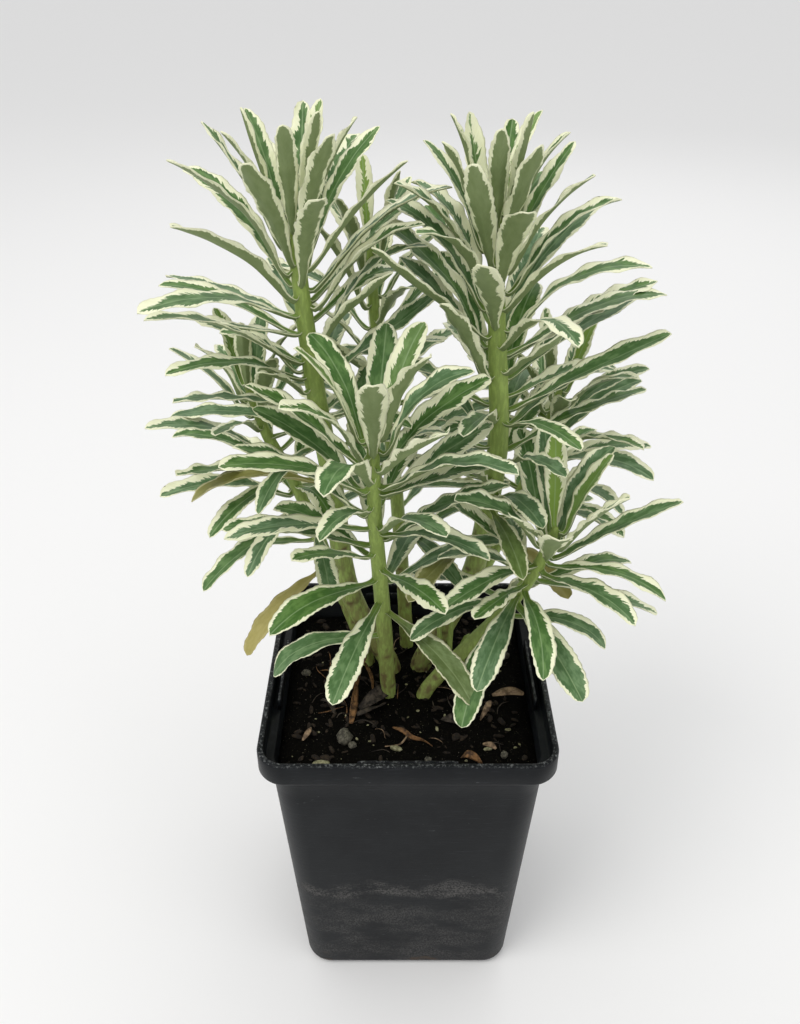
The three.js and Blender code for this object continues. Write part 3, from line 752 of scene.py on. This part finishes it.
def cut_foot(pot):
    """Lifts the four corners of the foot clear of the ground and drills their drain holes."""
    bm = bmesh.new()
    reach = 16 * MM
    place = FOOT_PAD_MM / 2 * MM
    for x, y in ((1, 1), (-1, 1), (-1, -1), (1, -1)):
        middle = Vector((x * (place + reach / 2), y * (place + reach / 2), 0))
        bmesh.ops.create_cube(bm, size=1.0, matrix=Matrix.Translation(middle) @ Matrix.Diagonal(
            (reach, reach, 2 * FOOT_LIFT_MM * MM, 1)))
    corners = object_from(bm, "foot_corner_cutter")
    bm = bmesh.new()
    for x, y in ((1, 1), (-1, 1), (-1, -1), (1, -1)):
        middle = Vector((x * (place + DRAIN_HOLE_INSET_MM * MM),
                         y * (place + DRAIN_HOLE_INSET_MM * MM), 0))
        bmesh.ops.create_cone(bm, cap_ends=True, segments=32, radius1=DRAIN_HOLE_RADIUS_MM * MM,
                              radius2=DRAIN_HOLE_RADIUS_MM * MM, depth=14 * MM,
                              matrix=Matrix.Translation(middle))
    holes = object_from(bm, "drain_hole_cutter")
    for cutter in (corners, holes):
        modifier = pot.modifiers.new("cut", "BOOLEAN")
        modifier.operation = "DIFFERENCE"
        modifier.solver = "EXACT"
        modifier.object = cutter
    apply_modifiers(pot)
    for cutter in (corners, holes):
        bpy.data.objects.remove(cutter)


def object_from(bm, name):
    mesh = bpy.data.meshes.new(name)
    bm.to_mesh(mesh)
    bm.free()
    made = bpy.data.objects.new(name, mesh)
    bpy.context.scene.collection.objects.link(made)
    return made


def apply_modifiers(piece):
    graph = bpy.context.evaluated_depsgraph_get()
    mesh = bpy.data.meshes.new_from_object(piece.evaluated_get(graph))
    piece.modifiers.clear()
    piece.data = mesh


def make_clips(shape, material):
    """The thin, slightly ragged clips that stand inside the rim in the middle of each side."""
    ledge = shape.band_bottom + POT_WALL_MM * MM
    place = shape.inner_width(ledge) / 2 + CLIP_THICKNESS_MM / 2 * MM
    half = CLIP_THICKNESS_MM / 2 * MM
    maker = MeshMaker()
    for side in range(4):
        turn = Matrix.Rotation(math.radians(90 * side), 3, "Z")
        rings = []
        for step in range(20):
            share = step / 19
            x = (share - 0.5) * CLIP_LENGTH_MM * MM
            ragged = noise.noise(Vector((step * 0.9, side, 0)))
            top = ledge + CLIP_HEIGHT_MM * MM + 0.35 * MM * ragged
            end = 0.4 * MM if step in (0, 19) else 0.0
            section = [(half, ledge - 0.5 * MM), (half, top - 0.3 * MM - end),
                       (half * 0.4, top - end), (-half * 0.4, top - end),
                       (-half, top - 0.3 * MM - end), (-half, ledge - 0.5 * MM)]
            rings.append([maker.point(turn @ Vector((x, place + y, z))) for y, z in section])
        maker.tube(rings)
        maker.face(tuple(reversed(rings[0])))
        maker.face(tuple(rings[-1]))
    maker.make("rim_clips", material)


# ---- Soil ----
class SoilShape:
    """The soil's height, which the litter rests on too."""

    def __init__(self, pot_shape):
        low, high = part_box("soil")
        self.level = high[2] - SOIL_MOUND_MM * MM
        self.floor = low[2]
        self.width = pot_shape.inner_width(self.level) - SOIL_CLEARANCE_MM * MM

    def height(self, x, y):
        place = Vector((x, y, 0)) / MM
        mound = 1.2 * noise.noise(place / 30) + 0.8 * noise.noise(place / 9)
        crumbs = 0.75 * noise.noise(place / 3.2) + 0.5 * abs(noise.noise(place / 1.5))
        edge = max(abs(x), abs(y)) / (self.width / 2)
        rolled = -2.2 * max(0.0, (edge - 0.9) / 0.1) ** 2
        return self.level + (mound + crumbs + rolled - 0.3) * MM


def make_soil(soil, radius, material):
    maker = MeshMaker()
    rings = []
    low_width = soil.width - 0.10 * (soil.level - soil.floor)
    rings.append([maker.point(point) for point in
                  rounded_square(low_width, radius, soil.floor, 20, 40)])
    edge = rounded_square(soil.width, radius, soil.level, 20, 40)
    for share in [1.0 - step / 78 for step in range(77)]:
        ring = []
        for point in edge:
            x = point.x * share
            y = point.y * share
            ring.append(maker.point(Vector((x, y, soil.height(x, y)))))
        rings.append(ring)
    maker.tube(rings)
    maker.face(tuple(reversed(rings[0])))
    maker.face(tuple(rings[-1]))
    maker.make("soil_fine", material, "soil")


def add_lump(maker, centre, size, chance, stretch=(1.0, 1.0, 0.6)):
    """A small irregular lump, such as a stone, a seed or a bark chip."""
    turn = Matrix.Rotation(chance.uniform(0, math.tau), 3, "Z") @ Matrix.Rotation(
        chance.uniform(-0.5, 0.5), 3, "X")
    seed = Vector((chance.random() * 50, 0, 0))
    rings = []
    for step in range(1, 6):
        polar = math.pi * step / 6
        ring = []
        for side in range(8):
            angle = math.tau * side / 8
            way = Vector((math.sin(polar) * math.cos(angle), math.sin(polar) * math.sin(angle),
                          -math.cos(polar)))
            reach = size * (1 + 0.45 * noise.noise(way * 1.7 + seed))
            scaled = Vector(part * grow for part, grow in zip(way * reach, stretch))
            ring.append(maker.point(centre + turn @ scaled))
        rings.append(ring)
    maker.tube(rings)
    bottom = maker.point(centre + turn @ Vector((0, 0, -size * stretch[2])))
    top = maker.point(centre + turn @ Vector((0, 0, size * stretch[2])))
    for i in range(8):
        j = (i + 1) % 8
        maker.face((bottom, rings[0][j], rings[0][i]))
        maker.face((top, rings[-1][i], rings[-1][j]))


def add_curl(maker, path, width, thickness, twist):
    """A dry leaf or strip: a thin ribbon along a path, narrowed at its ends and twisted."""
    fine, _ = smooth_path(path, 1.0 * MM)
    rings = []
    for index, centre in enumerate(fine):
        share = index / (len(fine) - 1)
        ahead = (fine[min(index + 1, len(fine) - 1)] - fine[max(index - 1, 0)]).normalized()
        beside = Matrix.Rotation(twist * share, 3, ahead) @ ahead.cross(UP).normalized()
        above = beside.cross(ahead)
        half = width / 2 * (0.12 + 0.88 * math.sin(math.pi * min(1.0, 0.06 + 0.9 * share)) ** 0.7)
        cup = 0.45 * half
        ring = []
        for column, level in ((-1, 0), (-0.5, -0.75), (0, -1), (0.5, -0.75), (1, 0)):
            ring.append(centre + beside * (column * half) + above * (level * cup))
        for column, level in ((0.5, -0.75), (0, -1), (-0.5, -0.75)):
            ring.append(centre + beside * (column * half) + above * (level * cup + thickness))
        rings.append([maker.point(place) for place in reversed(ring)])
    maker.tube([list(reversed(ring)) for ring in rings])
    maker.face(tuple(rings[0]))
    maker.face(tuple(reversed(rings[-1])))


# Curled dry leaves and bits, by kind: points across, back and up from the soil, in
# millimetres, then the width and the twist in radians.
CURLS = (
    ("brown", ((-23, -22, 0.6), (-22, -12, 3), (-21, -2, 6), (-18, 7, 10), (-20, 14, 11)), 4.2, 2.6),
    ("brown", ((-18, 6, 9), (-15, -1, 7), (-14, -9, 2)), 2.4, -1.6),
    ("brown", ((-6, -25, 0.8), (-2, -28, 3), (2, -31, 2), (6, -33, 3), (10, -35, 0.8)), 2.2, 2.2),
    ("brown", ((21, -41, 0.8), (23, -42, 4), (26, -43, 3), (29, -45, 0.8)), 3.2, 1.5),
    ("brown", ((20, -7, 0.8), (23, -6, 4), (25, -9, 3)), 4.5, 0.9),
    ("tan", ((36, -6, 1), (41, -5, 3), (45, -6, 4), (49, -8, 5)), 3.8, 0.8),
    ("tan", ((35, -9, 1), (33, -15, 3), (30, -20, 1)), 2.8, -1.3),
    ("tan", ((30, -34, 1), (33, -35, 2), (35, -37, 1)), 2.4, 0.8),
    ("tan", ((0, -30, 2), (-3, -34, 1.4), (-9, -35, 0.8)), 1.1, 0.6),
    ("tan", ((-42, -32, 1), (-40, -29, 3), (-39, -26, 2)), 2.2, 0.5),
    ("dark", ((-20, -13, 1), (-14, -9, 4), (-8, -4, 4), (-4, 0, 1)), 6.0, 1.2),
    ("dark", ((-21, -17, 1), (-15, -15, 3), (-9, -11, 2)), 5.0, -1.1),
    ("dark", ((14, -20, 1), (18, -22, 3), (24, -21, 1)), 4.0, 1.3),
    ("dark", ((-36, -8, 1), (-32, -12, 3), (-30, -17, 1)), 4.0, -0.8),
)
# Seeds and stones that stand out: place across and back, and length, in millimetres.
SEEDS = ((-34, -44, 3.1), (-4.6, -36, 2.1), (-10, -44, 1.0), (32, -36, 1.5), (12, -25, 1.2),
         (41, -25, 1.1))
STONES = ((-25.5, -30, 3.6), (-22, -34, 1.8), (38, -40, 1.7), (8, -42, 1.5), (-44, 8, 2.0),
          (44, 20, 2.2))


def make_litter(soil):
    """Bark, grit, seeds, stones, threads and curled dry leaves on the soil."""
    chance = random.Random(4)
    reach = soil.width / 2 - 4 * MM
    bark = MeshMaker()
    grit = MeshMaker()
    stones = MeshMaker()

    def lay_lump(maker, x, y, size, sink, stretch):
        add_lump(maker, Vector((x, y, soil.height(x, y) + size * sink)), size, chance, stretch)

    for _ in range(BARK_CHIPS):
        lay_lump(bark, chance.uniform(-reach, reach), chance.uniform(-reach, reach),
                 chance.uniform(0.5, 1.8) * MM, 0.15, (1.5, chance.uniform(0.4, 0.9), 0.45))
    for _ in range(GRIT_GRAINS):
        lay_lump(grit, chance.uniform(-reach, reach), chance.uniform(-reach, reach),
                 chance.uniform(0.25, 0.65) * MM, 0.3, (1.3, 0.8, 0.6))
    for x, y, size in SEEDS:
        lay_lump(grit, x * MM, y * MM, size * MM, 0.2, (1.25, 0.55, 0.4))
    for x, y, size in STONES:
        lay_lump(stones, x * MM, y * MM, size * MM, 0.25, (1.05, 0.95, 0.7))

    curls = {"brown": MeshMaker(), "tan": MeshMaker(), "dark": MeshMaker()}
    for kind, places, width, twist in CURLS:
        path = [Vector((x * MM, y * MM, soil.height(x * MM, y * MM) + z * MM))
                for x, y, z in places]
        add_curl(curls[kind], path, width * MM, 0.35 * MM, twist)
    for index in range(THREADS):
        path = thread_path(soil, reach, chance)
        kind = ("dark", "tan", "dark", "dark", "brown")[index % 5]
        add_curl(curls[kind], path, chance.uniform(0.25, 0.65) * MM, 0.25 * MM, chance.uniform(-2, 2))

    bark.make("soil_bark", litter_material("bark_chips", (0.006, 0.004, 0.003), (0.034, 0.023, 0.013),
                                           0.85, 0.8))
    grit.make("soil_grit", litter_material("pale_grit", (0.14, 0.13, 0.065), (0.36, 0.35, 0.21),
                                           0.7, 0.9))
    stones.make("soil_stones", litter_material("stone", (0.040, 0.037, 0.028), (0.150, 0.140, 0.105),
                                               0.8, 0.9))
    curls["brown"].make("dry_curls_brown", litter_material(
        "dry_leaf_brown", (0.045, 0.023, 0.010), (0.27, 0.140, 0.055), 0.7, 0.4), "fallen_leaf_left")
    curls["tan"].make("dry_curls_tan", litter_material(
        "dry_leaf_tan", (0.090, 0.058, 0.035), (0.37, 0.255, 0.155), 0.7, 0.4), "fallen_leaf_right")
    curls["dark"].make("dry_curls_dark", litter_material(
        "dry_leaf_dark", (0.012, 0.009, 0.007), (0.080, 0.064, 0.048), 0.8, 0.5))


def thread_path(soil, reach, chance):
    """Points of a short thread or root that arches a little over the soil."""
    x = chance.uniform(-reach, reach) * 0.88
    y = chance.uniform(-reach, reach) * 0.88
    turn = math.atan2(-y, -x) + chance.uniform(-1.2, 1.2)
    span = chance.uniform(4, 12) * MM
    lift = chance.uniform(0.2, 1.4) * MM
    bend = chance.uniform(-0.8, 0.8)
    path = []
    for share in (0.0, 0.35, 0.7, 1.0):
        px = x + math.cos(turn + share * bend) * span * share
        py = y + math.sin(turn + share * bend) * span * share
        path.append(Vector((px, py, soil.height(px, py) + lift * math.sin(math.pi * share))))
    return path


# ---- Camera, floor and light ----
def add_camera(shape):
    data = bpy.data.cameras.new("camera")
    data.lens = CAMERA_LENS_MM
    data.sensor_width = 36.0
    data.clip_start = 0.01
    camera = bpy.data.objects.new("camera", data)
    camera.location = (-CAMERA_LEFT * shape.rim_width, -CAMERA_BACK * shape.rim_width,
                       shape.height + CAMERA_ABOVE_RIM * shape.rim_width)
    camera.rotation_euler = (math.radians(90 - CAMERA_PITCH_DEGREES), 0, 0)
    bpy.context.scene.collection.objects.link(camera)
    bpy.context.scene.camera = camera


def add_floor():
    surface = Surface("floor", 0.9, Specular_IOR_Level=0.2)
    surface.color((0.86, 0.86, 0.86, 1.0))
    bm = bmesh.new()
    bmesh.ops.create_grid(bm, x_segments=1, y_segments=1, size=6.0)
    floor = object_from(bm, "floor")
    floor.data.materials.append(surface.material)


def add_light(name, place, target, size, power, color=(1.0, 1.0, 1.0)):
    data = bpy.data.lights.new(name, "AREA")
    data.shape = "DISK"
    data.size = size
    data.energy = power
    data.color = color
    light = bpy.data.objects.new(name, data)
    light.location = place
    light.rotation_euler = (Vector(target) - Vector(place)).to_track_quat("-Z", "Y").to_euler()
    bpy.context.scene.collection.objects.link(light)


def add_lights():
    world = bpy.data.worlds.new("studio")
    world.use_nodes = True
    background = world.node_tree.nodes["Background"]
    background.inputs[0].default_value = (1.0, 1.0, 1.0, 1.0)
    background.inputs[1].default_value = 0.82
    bpy.context.scene.world = world
    bpy.context.scene.view_settings.view_transform = "Standard"
    middle = (0, 0, 0.2)
    add_light("key", (-0.7, -0.6, 1.5), middle, 0.9, 9.0, (1.0, 0.985, 0.96))
    add_light("fill", (1.2, -0.9, 0.9), middle, 1.2, 2.5)
    add_light("back", (0.3, 1.3, 1.1), middle, 1.0, 2.5)


# ---- Scene ----
def main():
    shape = PotShape()
    # The rim's top edge is painted pale, as wear and as painted highlight.
    make_pot(shape, pot_material("pot_plastic", shape.height / MM))
    # The clips' tops get the same pale edge, as wear and as painted highlight.
    clip_top = shape.band_bottom / MM + POT_WALL_MM + CLIP_HEIGHT_MM
    make_clips(shape, pot_material("clip_plastic", clip_top))
    soil = SoilShape(shape)
    make_soil(soil, shape.radius - POT_WALL_MM * MM, soil_material())
    make_litter(soil)

    green = stem_material("stem_green", (0.25, 0.285, 0.080), (0.25, 0.335, 0.085), (0.16, 0.12, 0.05))
    aged = stem_material("stem_old", (0.25, 0.25, 0.085), (0.25, 0.335, 0.085), (0.115, 0.075, 0.035))
    stems = {}
    for number, name in enumerate((*SHOOTS, *BARE_STEMS)):
        node = f"{name}_stem"
        stems[name] = Stem(node)
        old = name in ("left_tall", "right_tall", "broken_stub")
        make_stem(node, number, stems[name], aged if old else green, 0.45 if old else 0.3)
    make_leaves(stems, leaf_material())
    add_camera(shape)
    add_floor()
    add_lights()


main()
